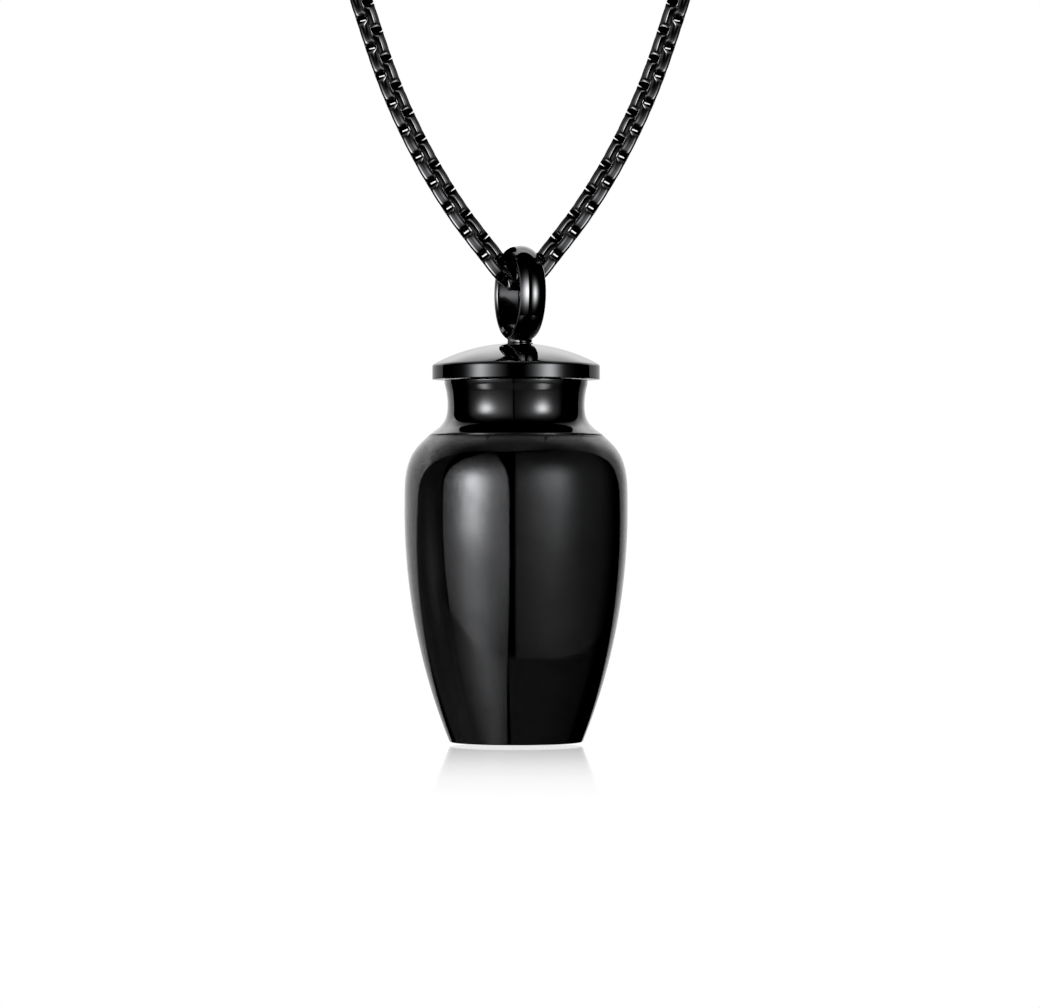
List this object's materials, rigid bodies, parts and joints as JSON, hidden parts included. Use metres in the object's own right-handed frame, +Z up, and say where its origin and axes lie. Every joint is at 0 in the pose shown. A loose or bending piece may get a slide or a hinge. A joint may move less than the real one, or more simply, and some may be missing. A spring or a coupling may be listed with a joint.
{
  "type": "keepsake urn pendant on a chain",
  "caption": "Vase-shaped screw-top keepsake urn pendant in polished black steel, hung by a wide ring bail on a long round box chain.",
  "frame": {"origin": "the point where the clasp's barrel lies on the nape of the wearer's neck", "axes": "+Z up, the wearer faces -Y, +X to the wearer's left; the pendant hangs at the front, below and in front of the origin"},
  "size_m": [0.1144, 0.139, 0.2466],
  "materials": {
    "jar_steel": "mirror-polished stainless steel with a black vapour-deposited coat",
    "lid_steel": "mirror-polished stainless steel with a black vapour-deposited coat",
    "chain_steel": "polished black-coated links",
    "clasp_steel": "polished black-coated barrel clasp"
  },
  "bodies": {
    "necklace": {"chain": "chain_steel", "clasp": "clasp_steel"},
    "lid": {"lid_with_bail": "lid_steel"},
    "jar": {"jar": "jar_steel"}
  },
  "joints": [
    {"name": "pendant_swing", "type": "hinge", "parent": "necklace", "child": "lid", "pos_m": [0, -0.124, -0.2024], "axis": [0.9511, 0.309, 0], "range_deg": [-90, 90]},
    {"name": "jar_unscrew", "type": "slide", "parent": "lid", "child": "jar", "axis": [0, 0, -1], "range_m": [0, 0.018]}
  ]
}
